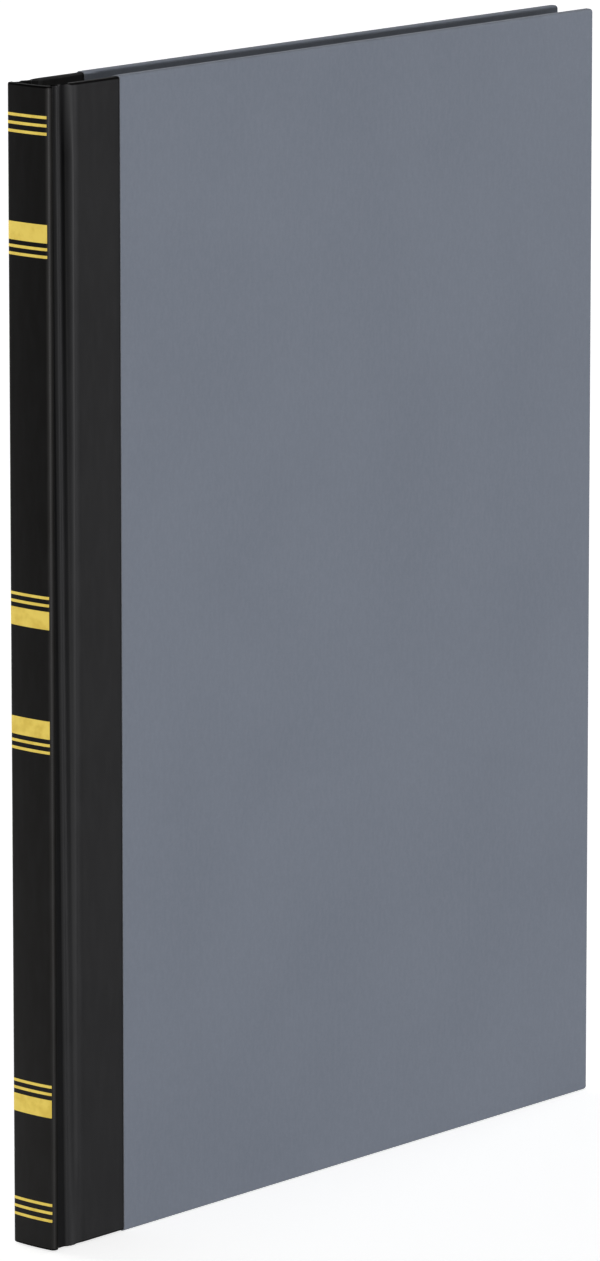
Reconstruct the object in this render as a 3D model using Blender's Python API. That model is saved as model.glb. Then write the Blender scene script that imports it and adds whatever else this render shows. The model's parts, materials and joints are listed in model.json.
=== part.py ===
"""Quarter-bound account ledger: sewn sections hung in a hard case with French-groove joints.

X runs from the spine to the fore-edge, Y from the front cover to the back cover and Z from
tail to head. The book stands on its tail, with the origin under the middle of its box.
Sizes are in millimetres, and MM turns them into metres where a mesh is made.
"""

import math

import bmesh
import bpy
from mathutils import Vector

MM = 0.001

# Leaves and sections
LEAF_WIDTH = 182.0
LEAF_HEIGHT = 257.0
LEAF_THICKNESS = 0.085
LEAVES_PER_SECTION = 10
SECTION_COUNT = 8
ENDPAPER_THICKNESS = 0.15

# Clearances
GLUE_LINE = 0.05
LEAF_GAP = 0.05
COVER_GAP = 0.1

# Boards and what covers them
SQUARE = 3.0
BOARD_THICKNESS = 2.0
SIDING_THICKNESS = 0.2
CLOTH_THICKNESS = 0.2
EDGE_RADIUS = 0.8
TURN_IN = 15.0
CLOTH_REACH = 23.4
SIDING_LAP = 3.0
REBATE_SLOPE = 0.5
PASTEDOWN_MARGIN = 4.0

# Spine
SPINE_BOW = 0.4
SHOULDER_RADIUS = 0.5
INLAY_THICKNESS = 1.2
HOLLOW = 0.5

# Joint: depths are measured from the cloth on the board, distances from the spine's shoulder
JOINT_WIDTH = 8.0
HINGE_SLIT = 0.55
SLIT_DEPTH = 1.45
RIDGE_DEPTH = 0.85
RIDGE_FROM_SHOULDER = 4.3
VALLEY_DEPTH = 1.4
VALLEY_FROM_SHOULDER = 6.5
JOINT_STEPS = 6

# Sewing and linings on the folds
TAPE_COUNT = 3
TAPE_WIDTH = 12.0
TAPE_THICKNESS = 0.35
TAPE_END_MARGIN = 60.0
THREAD_RADIUS = 0.14
KETTLE_FROM_END = 14.0
KETTLE_SWING = 1.2
MULL_THICKNESS = 0.25
MULL_END_MARGIN = 8.0
KRAFT_THICKNESS = 0.15
KRAFT_END_MARGIN = 3.0

# Gold foil on the spine: distances from the nearer end of the spine
FOIL_THICKNESS = 0.03
FOIL_GAP = 0.02
RULE_WIDTH = 0.66
RULE_PITCH = 1.82
RULE_COUNT = 3
RULE_FROM_END = 6.77
BAND_WIDTH = 4.1
PANEL_OUTER_EDGE = 30.8
PANEL_INNER_EDGE = 121.2
FINE_LINE_WIDTH = 0.66
FINE_LINE_GAP = 1.03
FINE_LINE_COUNT = 2

# Facets
ARC_STEPS = 20
EDGE_SEGMENTS = 3
FOLD_SEGMENTS = 6

# Text block
SECTION_THICKNESS = LEAF_THICKNESS * LEAVES_PER_SECTION
SECTION_PITCH = SECTION_THICKNESS + LEAF_GAP
BLOCK_THICKNESS = SECTION_COUNT * SECTION_PITCH - LEAF_GAP
BLOCK_HALF = BLOCK_THICKNESS / 2

# Cover layers, as depths from the cover's outer face
SIDING_BUILD = SIDING_THICKNESS + GLUE_LINE
CLOTH_BUILD = CLOTH_THICKNESS + GLUE_LINE
BOARD_OUTER = SIDING_BUILD
BOARD_INNER = BOARD_OUTER + BOARD_THICKNESS
TURN_IN_FACE = BOARD_INNER + SIDING_BUILD
PASTEDOWN_OUTER = TURN_IN_FACE + GLUE_LINE
COVER_INNER = PASTEDOWN_OUTER + ENDPAPER_THICKNESS
FLYLEAF_OUTER = COVER_INNER + COVER_GAP
FLYLEAF_INNER = FLYLEAF_OUTER + ENDPAPER_THICKNESS

# Whole book
HEIGHT = LEAF_HEIGHT + 2 * SQUARE
THICKNESS = BLOCK_THICKNESS + 2 * (FLYLEAF_INNER + LEAF_GAP)
HALF_THICKNESS = THICKNESS / 2

# Places along the book, from the outermost point of the spine
SPINE_APEX = FOIL_THICKNESS + FOIL_GAP
SHOULDER = SPINE_APEX + SPINE_BOW
SPINE_INNER = SHOULDER + CLOTH_BUILD + INLAY_THICKNESS + CLOTH_BUILD
KRAFT_START = SPINE_INNER + HOLLOW
MULL_START = KRAFT_START + KRAFT_THICKNESS + GLUE_LINE
TAPE_START = MULL_START + MULL_THICKNESS + GLUE_LINE
FOLD_START = TAPE_START + TAPE_THICKNESS + GLUE_LINE
FORE_EDGE = FOLD_START + LEAF_WIDTH
WIDTH = FORE_EDGE + SQUARE
BOARD_START = SHOULDER + JOINT_WIDTH
CLOTH_END = CLOTH_REACH + SIDING_LAP
JOINT_START = SPINE_INNER + HINGE_SLIT

# Spine widths: the cloth is level with the cloth on the boards
SPINE_HALF = HALF_THICKNESS - BOARD_OUTER
INLAY_HALF = SPINE_HALF - CLOTH_BUILD
BOW_RADIUS = (SPINE_HALF ** 2 + SPINE_BOW ** 2) / (2 * SPINE_BOW)

FRONT = -1
BACK = 1


def clear_scene():
    for old in list(bpy.data.objects):
        bpy.data.objects.remove(old, do_unlink=True)


def collection(name):
    made = bpy.data.collections.new(name)
    bpy.context.scene.collection.children.link(made)
    return made


def material(name, colour, roughness, metallic=0.0):
    """A Principled material whose colour is given in sRGB, 0 to 255."""
    made = bpy.data.materials.new(name)
    made.use_nodes = True
    shader = made.node_tree.nodes["Principled BSDF"]
    linear = [((c / 255 + 0.055) / 1.055) ** 2.4 for c in colour]
    shader.inputs["Base Color"].default_value = (*linear, 1.0)
    shader.inputs["Roughness"].default_value = roughness
    shader.inputs["Metallic"].default_value = metallic
    return made


def across(side, depth):
    """Y of a depth measured inwards from one cover's outer face."""
    return side * (HALF_THICKNESS - depth)


def to_world(mesh):
    """Book sizes to metres, with the origin under the middle of the book."""
    bmesh.ops.translate(mesh, verts=mesh.verts, vec=(-WIDTH / 2, 0, 0))
    bmesh.ops.scale(mesh, verts=mesh.verts, vec=(MM, MM, MM))


def world(x, y, z=0.0):
    return Vector((x - WIDTH / 2, y, z)) * MM


def box(x_range, y_range, z_range, radius=0.0):
    """A box between two corners, with all its edges rounded where a radius is given."""
    mesh = bmesh.new()
    bmesh.ops.create_cube(mesh, size=1.0)
    spans = [sorted(span) for span in (x_range, y_range, z_range)]
    bmesh.ops.scale(mesh, verts=mesh.verts, vec=[high - low for low, high in spans])
    bmesh.ops.translate(mesh, verts=mesh.verts, vec=[(low + high) / 2 for low, high in spans])
    if radius > 0:
        bmesh.ops.bevel(mesh, geom=mesh.edges[:], offset=radius, segments=EDGE_SEGMENTS,
                        profile=0.5, affect='EDGES', material=-1)
    return mesh


def prism(outline, z_range):
    """A closed outline of (x, y) points carried from one height to another."""
    low, high = z_range
    mesh = bmesh.new()
    corners = [mesh.verts.new((x, y, low)) for x, y in outline]
    base = mesh.faces.new(corners)
    top = bmesh.ops.extrude_face_region(mesh, geom=[base])["geom"]
    raised = [item for item in top if isinstance(item, bmesh.types.BMVert)]
    bmesh.ops.translate(mesh, verts=raised, vec=(0, 0, high - low))
    bmesh.ops.recalc_face_normals(mesh, faces=mesh.faces)
    return mesh


def node(name, mesh, finish, group, parent=None, pivot=None):
    """One sub-part. Its origin is on its parent's axis, on its own pivot or at the book's origin."""
    to_world(mesh)
    origin = parent.location if parent else pivot or Vector()
    bmesh.ops.translate(mesh, verts=mesh.verts, vec=-origin)
    data = bpy.data.meshes.new(name)
    mesh.to_mesh(data)
    mesh.free()
    if finish:
        data.materials.append(finish)
    part = bpy.data.objects.new(name, data)
    part.parent = parent
    if not parent:
        part.location = origin
    group.objects.link(part)
    return part


def cutter(name, mesh, group, parent=None):
    made = node(name, mesh, None, group, parent)
    made.hide_render = True
    made.display_type = 'WIRE'
    return made


def boolean(part, tool, operation):
    step = part.modifiers.new(operation.lower() + "_" + tool.name, 'BOOLEAN')
    step.operation = operation
    step.object = tool


def hinge_axis(name, side, group):
    """The empty on one cover's hinge line, at the outer shoulder of the spine."""
    axis = bpy.data.objects.new(name, None)
    axis.location = world(SHOULDER, across(side, 0.0))
    axis.empty_display_size = SQUARE * MM
    group.objects.link(axis)
    return axis


def bow(inset, y):
    """X of the bowed spine at a distance from its middle, for a layer that far inside."""
    return SPINE_APEX + BOW_RADIUS - math.sqrt((BOW_RADIUS - inset) ** 2 - y ** 2)


def bowed_outline(outer_inset, inner_inset, half_width):
    """A strip that follows the spine's bow, between two layers."""
    ys = [half_width * (2 * i / ARC_STEPS - 1) for i in range(ARC_STEPS + 1)]
    outer = [(bow(outer_inset, y), y) for y in ys]
    inner = [(bow(inner_inset, y), y) for y in reversed(ys)]
    return outer + inner


def round_shoulders(mesh, half_width, radius):
    """Round the two long outer edges of a bowed strip."""
    if radius <= 0:
        return
    middle = min(v.co.x for v in mesh.verts if abs(abs(v.co.y) - half_width) < GLUE_LINE / 10)
    upright = [e for e in mesh.edges
               if all(abs(abs(v.co.y) - half_width) < GLUE_LINE / 10 for v in e.verts)
               and all(abs(v.co.x - middle) < GLUE_LINE / 10 for v in e.verts)
               and abs(e.verts[0].co.z - e.verts[1].co.z) > radius]
    bmesh.ops.bevel(mesh, geom=upright, offset=radius, segments=EDGE_SEGMENTS, profile=0.5,
                    affect='EDGES', material=-1)


def smooth_step(start, end, share):
    return start + (end - start) * (1 - math.cos(math.pi * share)) / 2


def joint_curve():
    """The groove from the hinge line to the board, as (x, depth) points on the cloth's outer face."""
    stops = [(JOINT_START, SLIT_DEPTH),
             (SHOULDER + RIDGE_FROM_SHOULDER, RIDGE_DEPTH),
             (SHOULDER + VALLEY_FROM_SHOULDER, VALLEY_DEPTH),
             (BOARD_START - CLOTH_BUILD, 0.0)]
    points = [stops[0]]
    for (x0, depth0), (x1, depth1) in zip(stops, stops[1:]):
        for i in range(1, JOINT_STEPS + 1):
            share = i / JOINT_STEPS
            points.append((x0 + (x1 - x0) * share, smooth_step(depth0, depth1, share)))
    return [(x, BOARD_OUTER + depth) for x, depth in points]


def inside_radius(inset):
    """The edge radius of a layer that far inside the cover's outer face."""
    return max(EDGE_RADIUS - inset, 0.0)


def make_board(side, label, hinge, finish, parts):
    """A board, pressed thinner by the cloth's build-up where the cloth lies on it."""
    mesh = box((BOARD_START, WIDTH - SIDING_BUILD), (across(side, BOARD_OUTER), across(side, BOARD_INNER)),
               (SIDING_BUILD, HEIGHT - SIDING_BUILD), inside_radius(SIDING_BUILD))
    for x in (CLOTH_END + GLUE_LINE, CLOTH_END + GLUE_LINE + REBATE_SLOPE):
        bmesh.ops.bisect_plane(mesh, geom=mesh.verts[:] + mesh.edges[:] + mesh.faces[:],
                               plane_co=(x, 0, 0), plane_no=(1, 0, 0))
    middle_y = across(side, (BOARD_OUTER + BOARD_INNER) / 2)
    for vert in mesh.verts:
        if vert.co.x < CLOTH_END + GLUE_LINE + REBATE_SLOPE / 2:
            vert.co.y += math.copysign(CLOTH_BUILD, middle_y - vert.co.y)
            vert.co.z += math.copysign(CLOTH_BUILD, HEIGHT / 2 - vert.co.z)
    node(label + "_board", mesh, finish, parts, hinge)


def make_siding(side, label, hinge, finish, parts, cutters):
    """The paper side: one sheet over the board's face, turned in at head, tail and fore-edge."""
    spare = SIDING_LAP
    mesh = box((CLOTH_REACH - spare, WIDTH), (across(side, 0.0), across(side, TURN_IN_FACE)),
               (0.0, HEIGHT), EDGE_RADIUS)
    cut = bmesh.ops.bisect_plane(mesh, geom=mesh.verts[:] + mesh.edges[:] + mesh.faces[:],
                                 plane_co=(CLOTH_REACH, 0, 0), plane_no=(1, 0, 0), clear_inner=True)
    rim = [item for item in cut["geom_cut"] if isinstance(item, bmesh.types.BMEdge)]
    bmesh.ops.edgeloop_fill(mesh, edges=rim)
    bmesh.ops.recalc_face_normals(mesh, faces=mesh.faces)
    siding = node(label + "_siding", mesh, finish, parts, hinge)
    pocket = box((CLOTH_REACH - spare, WIDTH - SIDING_THICKNESS),
                 (across(side, SIDING_THICKNESS), across(side, BOARD_INNER + GLUE_LINE)),
                 (SIDING_THICKNESS, HEIGHT - SIDING_THICKNESS), inside_radius(SIDING_THICKNESS))
    boolean(siding, cutter(label + "_siding_pocket", pocket, cutters, hinge), 'DIFFERENCE')
    window = box((CLOTH_REACH - spare, WIDTH - TURN_IN),
                 (across(side, HALF_THICKNESS), across(side, BOARD_OUTER + BOARD_THICKNESS / 2)),
                 (TURN_IN, HEIGHT - TURN_IN))
    boolean(siding, cutter(label + "_siding_window", window, cutters, hinge), 'DIFFERENCE')


def make_cloth(side, label, hinge, finish, parts, cutters):
    """The cloth from the hinge line through the groove and onto the board, turned in at both ends."""
    groove = joint_curve()
    spare = SIDING_LAP
    ends = (SIDING_BUILD, HEIGHT - SIDING_BUILD)
    face = groove + [(CLOTH_END, BOARD_OUTER)]
    inside = [(CLOTH_END, BOARD_INNER), (BOARD_START, BOARD_INNER)]
    inside += [(x, depth + 2 * CLOTH_THICKNESS) for x, depth in reversed(groove[:-JOINT_STEPS])]
    mesh = prism([(x, across(side, depth)) for x, depth in face + inside], ends)
    cloth = node(label + "_cloth", mesh, finish, parts, hinge)
    rounding = box((JOINT_START - spare, CLOTH_END + spare), (across(side, BOARD_OUTER), across(side, BOARD_INNER)),
                   ends, inside_radius(SIDING_BUILD))
    boolean(cloth, cutter(label + "_cloth_rounding", rounding, cutters, hinge), 'INTERSECT')
    pocket = box((BOARD_START - GLUE_LINE, CLOTH_END + spare),
                 (across(side, BOARD_OUTER + CLOTH_THICKNESS), across(side, BOARD_INNER - CLOTH_THICKNESS)),
                 (ends[0] + CLOTH_THICKNESS, ends[1] - CLOTH_THICKNESS),
                 inside_radius(SIDING_BUILD + CLOTH_THICKNESS))
    boolean(cloth, cutter(label + "_cloth_pocket", pocket, cutters, hinge), 'DIFFERENCE')
    lining = [(JOINT_START - spare, SLIT_DEPTH + BOARD_OUTER + CLOTH_THICKNESS)]
    lining += [(x, depth + CLOTH_THICKNESS) for x, depth in groove]
    lining += [(CLOTH_END + spare, BOARD_OUTER + CLOTH_THICKNESS), (CLOTH_END + spare, HALF_THICKNESS)]
    lining += [(JOINT_START - spare, HALF_THICKNESS)]
    window = prism([(x, across(side, depth)) for x, depth in lining], (TURN_IN, HEIGHT - TURN_IN))
    boolean(cloth, cutter(label + "_cloth_window", window, cutters, hinge), 'DIFFERENCE')


def leaf_pivot(side):
    """The line that the leaves nearer one cover turn about: the fold of that cover's flyleaf."""
    return world(FOLD_START, across(side, (FLYLEAF_OUTER + FLYLEAF_INNER) / 2))


def make_endpapers(side, label, hinge, finish, parts):
    """The pastedown on the board, and the flyleaf that turns on its own fold."""
    pastedown = box((JOINT_START + HINGE_SLIT, WIDTH - PASTEDOWN_MARGIN),
                    (across(side, PASTEDOWN_OUTER), across(side, COVER_INNER)),
                    (PASTEDOWN_MARGIN, HEIGHT - PASTEDOWN_MARGIN))
    node(label + "_pastedown", pastedown, finish, parts, hinge)
    flyleaf = box((FOLD_START, FORE_EDGE), (across(side, FLYLEAF_OUTER), across(side, FLYLEAF_INNER)),
                  (SQUARE, HEIGHT - SQUARE))
    node(label + "_flyleaf", flyleaf, finish, parts, pivot=leaf_pivot(side))


def make_cover(side, label, finishes, parts, cutters):
    hinge = hinge_axis(label + "_cover_hinge", side, parts)
    make_board(side, label, hinge, finishes["board"], parts)
    make_siding(side, label, hinge, finishes["siding"], parts, cutters)
    make_cloth(side, label, hinge, finishes["cloth"], parts, cutters)
    make_endpapers(side, label, hinge, finishes["endpaper"], parts)


def make_section(number, finish, parts):
    """One sewn section: folded sheets with a round fold, turning at the nearer shoulder of the block."""
    radius = SECTION_THICKNESS / 2
    middle = (number - 0.5) * SECTION_PITCH - BLOCK_HALF - LEAF_GAP / 2
    angles = [math.pi / 2 + math.pi * i / FOLD_SEGMENTS for i in range(FOLD_SEGMENTS + 1)]
    fold = [(FOLD_START + radius + radius * math.cos(a), middle + radius * math.sin(a)) for a in angles]
    outline = fold + [(FORE_EDGE, middle - radius), (FORE_EDGE, middle + radius)]
    mesh = prism(outline, (SQUARE, HEIGHT - SQUARE))
    side = FRONT if middle < 0 else BACK
    node(f"section_{number:02d}", mesh, finish, parts, pivot=leaf_pivot(side))


def make_spine_inlay(finish, parts):
    end = SIDING_BUILD + CLOTH_BUILD
    outline = bowed_outline(CLOTH_BUILD, CLOTH_BUILD + INLAY_THICKNESS, INLAY_HALF)
    mesh = prism(outline, (end, HEIGHT - end))
    round_shoulders(mesh, INLAY_HALF, max(SHOULDER_RADIUS - CLOTH_BUILD, 0.0))
    node("spine_inlay", mesh, finish, parts)


def make_spine_cloth(finish, parts, cutters):
    """The cloth round the inlay: over its back and shoulders, turned in at head and tail."""
    inner = 2 * CLOTH_BUILD + INLAY_THICKNESS
    mesh = prism(bowed_outline(0.0, inner, SPINE_HALF), (SIDING_BUILD, HEIGHT - SIDING_BUILD))
    round_shoulders(mesh, SPINE_HALF, SHOULDER_RADIUS)
    cloth = node("spine_cloth", mesh, finish, parts)
    half = SPINE_HALF - CLOTH_THICKNESS
    end = SIDING_BUILD + CLOTH_THICKNESS
    pocket = prism(bowed_outline(CLOTH_THICKNESS, inner - CLOTH_THICKNESS, half), (end, HEIGHT - end))
    round_shoulders(pocket, half, max(SHOULDER_RADIUS - CLOTH_THICKNESS, 0.0))
    boolean(cloth, cutter("spine_pocket", pocket, cutters), 'DIFFERENCE')
    window = prism(bowed_outline(CLOTH_BUILD + INLAY_THICKNESS / 2, inner + HOLLOW, half),
                   (TURN_IN, HEIGHT - TURN_IN))
    boolean(cloth, cutter("spine_window", window, cutters), 'DIFFERENCE')


def make_linings(finishes, parts):
    """Sewing tapes across the folds, then the mull, then the kraft paper."""
    ys = (-BLOCK_HALF, BLOCK_HALF)
    spacing = (HEIGHT - 2 * TAPE_END_MARGIN) / max(TAPE_COUNT - 1, 1)
    for i in range(TAPE_COUNT):
        middle = TAPE_END_MARGIN + i * spacing
        tape = box((TAPE_START, TAPE_START + TAPE_THICKNESS), ys,
                   (middle - TAPE_WIDTH / 2, middle + TAPE_WIDTH / 2))
        node(f"sewing_tape_{i + 1}", tape, finishes["tape"], parts)
    mull = box((MULL_START, MULL_START + MULL_THICKNESS), ys,
               (SQUARE + MULL_END_MARGIN, HEIGHT - SQUARE - MULL_END_MARGIN))
    node("mull_lining", mull, finishes["mull"], parts)
    kraft = box((KRAFT_START, KRAFT_START + KRAFT_THICKNESS), ys,
                (SQUARE + KRAFT_END_MARGIN, HEIGHT - SQUARE - KRAFT_END_MARGIN))
    node("kraft_lining", kraft, finishes["kraft"], parts)


def make_kettle_stitch(label, height, finish, parts):
    """The thread that links each section to the next, a zigzag over the folds."""
    curve = bpy.data.curves.new(label, 'CURVE')
    curve.dimensions = '3D'
    curve.bevel_depth = THREAD_RADIUS * MM
    curve.bevel_resolution = 1
    curve.use_fill_caps = True
    spline = curve.splines.new('POLY')
    spline.points.add(SECTION_COUNT - 1)
    x = TAPE_START + TAPE_THICKNESS / 2
    for i, point in enumerate(spline.points):
        y = (i + 0.5) * SECTION_PITCH - BLOCK_HALF
        swing = KETTLE_SWING if i % 2 else -KETTLE_SWING
        point.co = (*world(x, y, height + swing), 1.0)
    curve.materials.append(finish)
    parts.objects.link(bpy.data.objects.new(label, curve))


def make_foil(name, low, width, finish, parts):
    """One stamped line: a thin strip across the spine between its shoulders."""
    half = SPINE_HALF - SHOULDER_RADIUS
    outline = bowed_outline(-FOIL_GAP - FOIL_THICKNESS, -FOIL_GAP, half)
    node(name, prism(outline, (low, low + width)), finish, parts)


def make_foil_set(label, from_end, finish, parts):
    """The lines of one half of the spine: outer rules, then a panel framed by two bands.

    from_end(distance, width) gives the low edge of a line at a distance from its end of the spine.
    """
    for i in range(RULE_COUNT):
        low = from_end(RULE_FROM_END + i * RULE_PITCH, RULE_WIDTH)
        make_foil(f"foil_{label}_rule_{i + 1}", low, RULE_WIDTH, finish, parts)
    outer_low = from_end(PANEL_OUTER_EDGE, BAND_WIDTH)
    inner_low = from_end(PANEL_INNER_EDGE - BAND_WIDTH, BAND_WIDTH)
    make_foil(f"foil_{label}_outer_band", outer_low, BAND_WIDTH, finish, parts)
    make_foil(f"foil_{label}_inner_band", inner_low, BAND_WIDTH, finish, parts)
    for i in range(FINE_LINE_COUNT):
        inset = BAND_WIDTH + FINE_LINE_GAP + i * (FINE_LINE_WIDTH + FINE_LINE_GAP)
        outer_line = from_end(PANEL_OUTER_EDGE + inset, FINE_LINE_WIDTH)
        inner_line = from_end(PANEL_INNER_EDGE - inset - FINE_LINE_WIDTH, FINE_LINE_WIDTH)
        make_foil(f"foil_{label}_outer_line_{i + 1}", outer_line, FINE_LINE_WIDTH, finish, parts)
        make_foil(f"foil_{label}_inner_line_{i + 1}", inner_line, FINE_LINE_WIDTH, finish, parts)


def make_ledger():
    parts = collection("account_ledger")
    cutters = collection("cutters")
    finishes = {
        "siding": material("slate paper", (116, 121, 132), 0.75),
        "cloth": material("black bookcloth", (40, 39, 40), 0.8),
        "board": material("grey board", (150, 142, 128), 0.9),
        "endpaper": material("white endpaper", (236, 233, 224), 0.8),
        "leaf": material("ledger paper", (240, 236, 224), 0.8),
        "card": material("spine card", (158, 146, 126), 0.9),
        "tape": material("linen tape", (222, 214, 196), 0.9),
        "mull": material("mull", (214, 206, 190), 0.9),
        "kraft": material("kraft paper", (170, 134, 92), 0.85),
        "thread": material("linen thread", (230, 224, 208), 0.8),
        "gold": material("gold foil", (212, 180, 84), 0.35, 1.0),
    }
    make_spine_cloth(finishes["cloth"], parts, cutters)
    make_spine_inlay(finishes["card"], parts)
    make_linings(finishes, parts)
    make_kettle_stitch("kettle_stitch_head", HEIGHT - SQUARE - KETTLE_FROM_END, finishes["thread"], parts)
    make_kettle_stitch("kettle_stitch_tail", SQUARE + KETTLE_FROM_END, finishes["thread"], parts)
    make_foil_set("tail", lambda distance, width: distance, finishes["gold"], parts)
    make_foil_set("head", lambda distance, width: HEIGHT - distance - width, finishes["gold"], parts)
    for number in range(1, SECTION_COUNT + 1):
        make_section(number, finishes["leaf"], parts)
    make_cover(FRONT, "front", finishes, parts, cutters)
    make_cover(BACK, "back", finishes, parts, cutters)


clear_scene()
make_ledger()
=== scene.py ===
"""Studio picture of a quarter-bound account ledger that stands on its tail.

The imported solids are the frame. The cloth, the paper sides, the gold foil and the leaves are
modelled here in the same places, in metres, and the other pieces keep their solids and get a
finish. X runs from the spine to the fore-edge, Y from the front cover to the back cover, Z from
tail to head.
"""

import json
import math
import random

import bmesh
import bpy
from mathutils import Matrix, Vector


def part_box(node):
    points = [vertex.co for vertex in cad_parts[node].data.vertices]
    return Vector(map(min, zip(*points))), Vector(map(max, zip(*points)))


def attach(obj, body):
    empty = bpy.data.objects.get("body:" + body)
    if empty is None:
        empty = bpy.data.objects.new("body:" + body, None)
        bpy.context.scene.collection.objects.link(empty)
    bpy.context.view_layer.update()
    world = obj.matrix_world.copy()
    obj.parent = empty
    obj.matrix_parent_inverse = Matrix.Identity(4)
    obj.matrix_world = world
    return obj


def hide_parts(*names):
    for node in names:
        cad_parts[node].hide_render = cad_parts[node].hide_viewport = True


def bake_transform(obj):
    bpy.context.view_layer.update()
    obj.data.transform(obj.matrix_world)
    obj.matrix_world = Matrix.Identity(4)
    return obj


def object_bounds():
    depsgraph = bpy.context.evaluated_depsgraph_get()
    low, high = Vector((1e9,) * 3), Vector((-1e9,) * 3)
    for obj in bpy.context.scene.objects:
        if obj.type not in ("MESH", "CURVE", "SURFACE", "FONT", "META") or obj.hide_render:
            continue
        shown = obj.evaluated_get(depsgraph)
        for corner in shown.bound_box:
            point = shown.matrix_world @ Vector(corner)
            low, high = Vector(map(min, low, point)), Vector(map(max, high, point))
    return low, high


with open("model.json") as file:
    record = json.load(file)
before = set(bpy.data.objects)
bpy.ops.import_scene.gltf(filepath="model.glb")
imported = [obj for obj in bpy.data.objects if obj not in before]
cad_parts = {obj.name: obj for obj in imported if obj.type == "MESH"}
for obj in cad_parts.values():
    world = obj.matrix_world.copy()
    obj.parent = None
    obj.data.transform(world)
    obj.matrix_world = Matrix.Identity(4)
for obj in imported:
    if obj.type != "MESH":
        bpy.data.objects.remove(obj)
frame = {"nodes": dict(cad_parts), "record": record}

CAD_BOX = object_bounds()
MM = 0.001

# Places read from the frame
BOOK_LOW, BOOK_HIGH = CAD_BOX
CLOTH_LOW, CLOTH_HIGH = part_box("front_cloth")
SPINE_LOW, SPINE_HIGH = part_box("spine_cloth")
LEAF_LOW, LEAF_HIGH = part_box("section_01")
BOARD_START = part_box("front_board")[0].x
SPINE_APEX = SPINE_LOW.x
CLOTH_FACE = SPINE_HIGH.y  # from the middle of the book, on the spine's sides and on the boards

# The two covers, with the way along Y that each faces, and the two ends of the book
SIDES = {"front": -1, "back": 1}
TAIL, HEAD = 0, 1

# Sizes of the binding
SPINE_BOW = 0.4 * MM
SPINE_EDGE_THICKNESS = 1.7 * MM
SPINE_END_ROUNDING = 0.35 * MM
OUTER_BEAD_RADIUS = 1.2 * MM
INNER_BEAD_RADIUS = 0.5 * MM
CLOTH_THICKNESS = 0.2 * MM
THREAD_PITCH = 0.26 * MM
PAPER_THICKNESS = 0.2 * MM
BOARD_THICKNESS = 2.0 * MM
EDGE_RADIUS = 0.8 * MM
CLOTH_EDGE_RADIUS = 0.55 * MM
TURN_IN = 15.0 * MM
FOIL_THICKNESS = 0.03 * MM
FOIL_LIFT = 0.02 * MM
SHOULDER_X = SPINE_APEX + SPINE_BOW
BOW_RADIUS = (CLOTH_FACE ** 2 + SPINE_BOW ** 2) / (2 * SPINE_BOW)

# Groove between spine and board: each stop at the head, and how much it changes by the tail, as
# mm from the spine's shoulder, mm below the cloth's face on the board, and the tone of the cloth,
# which is 1 where it is plain, less in a hollow as painted shade, and more on the ridge and the
# board's edge as a painted highlight
TUCK = ((1.0, 1.0, 0.25), (0.0, 0.0, 0.25))
SLIT = ((2.7, 1.5, 0.2), (1.4, -0.6, 0.25))
RIDGE = ((3.75, 0.75, 1.25), (1.6, -0.35, 0.0))
VALLEY = ((6.6, 1.75, 0.1), (0.3, -1.15, 1.15))
BOARD_EDGE = ((8.55, 0.14, 1.7), (0.0, 0.0, -0.5))
BOARD_FLAT = ((10.2, 0.0, 1.0), (0.0, 0.0, 0.0))
GROOVE = (TUCK, SLIT, RIDGE, VALLEY, BOARD_EDGE, BOARD_FLAT)

# What the valley adds at the very head and tail to its place, its depth and its painted shade,
# and the share of the height in which it fades
VALLEY_AT_ENDS = (-0.9, -0.45, 0.35)
END_REACH = 0.06

# The turn-in lies close under the cloth in the groove and goes over to the board's inner face
DOUBLED_CLOTH = 0.45 * MM
PARTING_LEAD = 0.9 * MM
PARTING_LENGTH = 1.2 * MM

# Tones of the cloth on the spine, its beads and the folds at head and tail, all painted light:
# the spine darker to the head, painted highlights on the beads, painted shade on their flanks
# and painted shade round the folds, on the spine and on the boards' cloth
SPINE_TONE_HEAD = 0.6
SPINE_TONE_TAIL = 1.05
SPINE_TONE_REACH = 0.85  # share of the height at which the head's tone is reached
BEAD_TONE_HEAD = 1.6
BEAD_TONE_TAIL = 1.2
BEAD_FLANK_SHARE = 0.2
BEAD_START = OUTER_BEAD_RADIUS * 0.9  # in from the spine's side
BEAD_FULL = 0.2 * MM
FLANK_START = 0.4 * MM  # from the shoulder
FLANK_END = 1.3 * MM
FOLD_TONE = 0.12
FOLD_DARK_FROM = 0.25  # share of the way round the fold
FOLD_DARK_TO = 0.2 * MM  # from the spine's end
FOLD_PLAIN_FROM = 0.6 * MM
CLOTH_SPECULAR = 0.06

# Leaves
LEAVES_IN_SECTION = 10
LEAF_FILL = 0.9
FORE_EDGE_JITTER = 0.1 * MM
JITTER_SEED = 7

# Ruling of the leaves
FOLD_MARGIN = 9.0 * MM
FORE_MARGIN = 5.0 * MM
FOOT_MARGIN = 14.0 * MM
HEAD_MARGIN = 15.0 * MM
ROWS_BELOW_HEAD = 30.0 * MM
ROW_PITCH = 7.5 * MM
ROW_WIDTH = 0.22 * MM
COLUMNS = (20.0, 29.0, 80.0, 88.0, 89.2, 116.0, 117.2, 144.0, 145.2, 172.0)  # mm from the fold
COLUMN_HALF_WIDTH = 0.16 * MM
HEAD_RULES = (15.0, 16.2, 30.0)  # mm below the head
HEAD_RULE_HALF_WIDTH = 0.2 * MM

# Facets
BOW_STEPS = 32
BEAD_STEPS = 8
GROOVE_STEPS = 10
FOLD_STEPS = 4
EDGE_SEGMENTS = 5
SPINE_END_SEGMENTS = 3
LEAF_FOLD_STEPS = 6
RUN_ROWS = 16
END_ROWS = 4
SHARP_ANGLE = 38.0
FACING = 0.99  # least part of a normal along an axis on a face that looks that way
MERGE_DISTANCE = 0.001 * MM  # the two halves of a tight fold meet in one row of vertices

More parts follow.
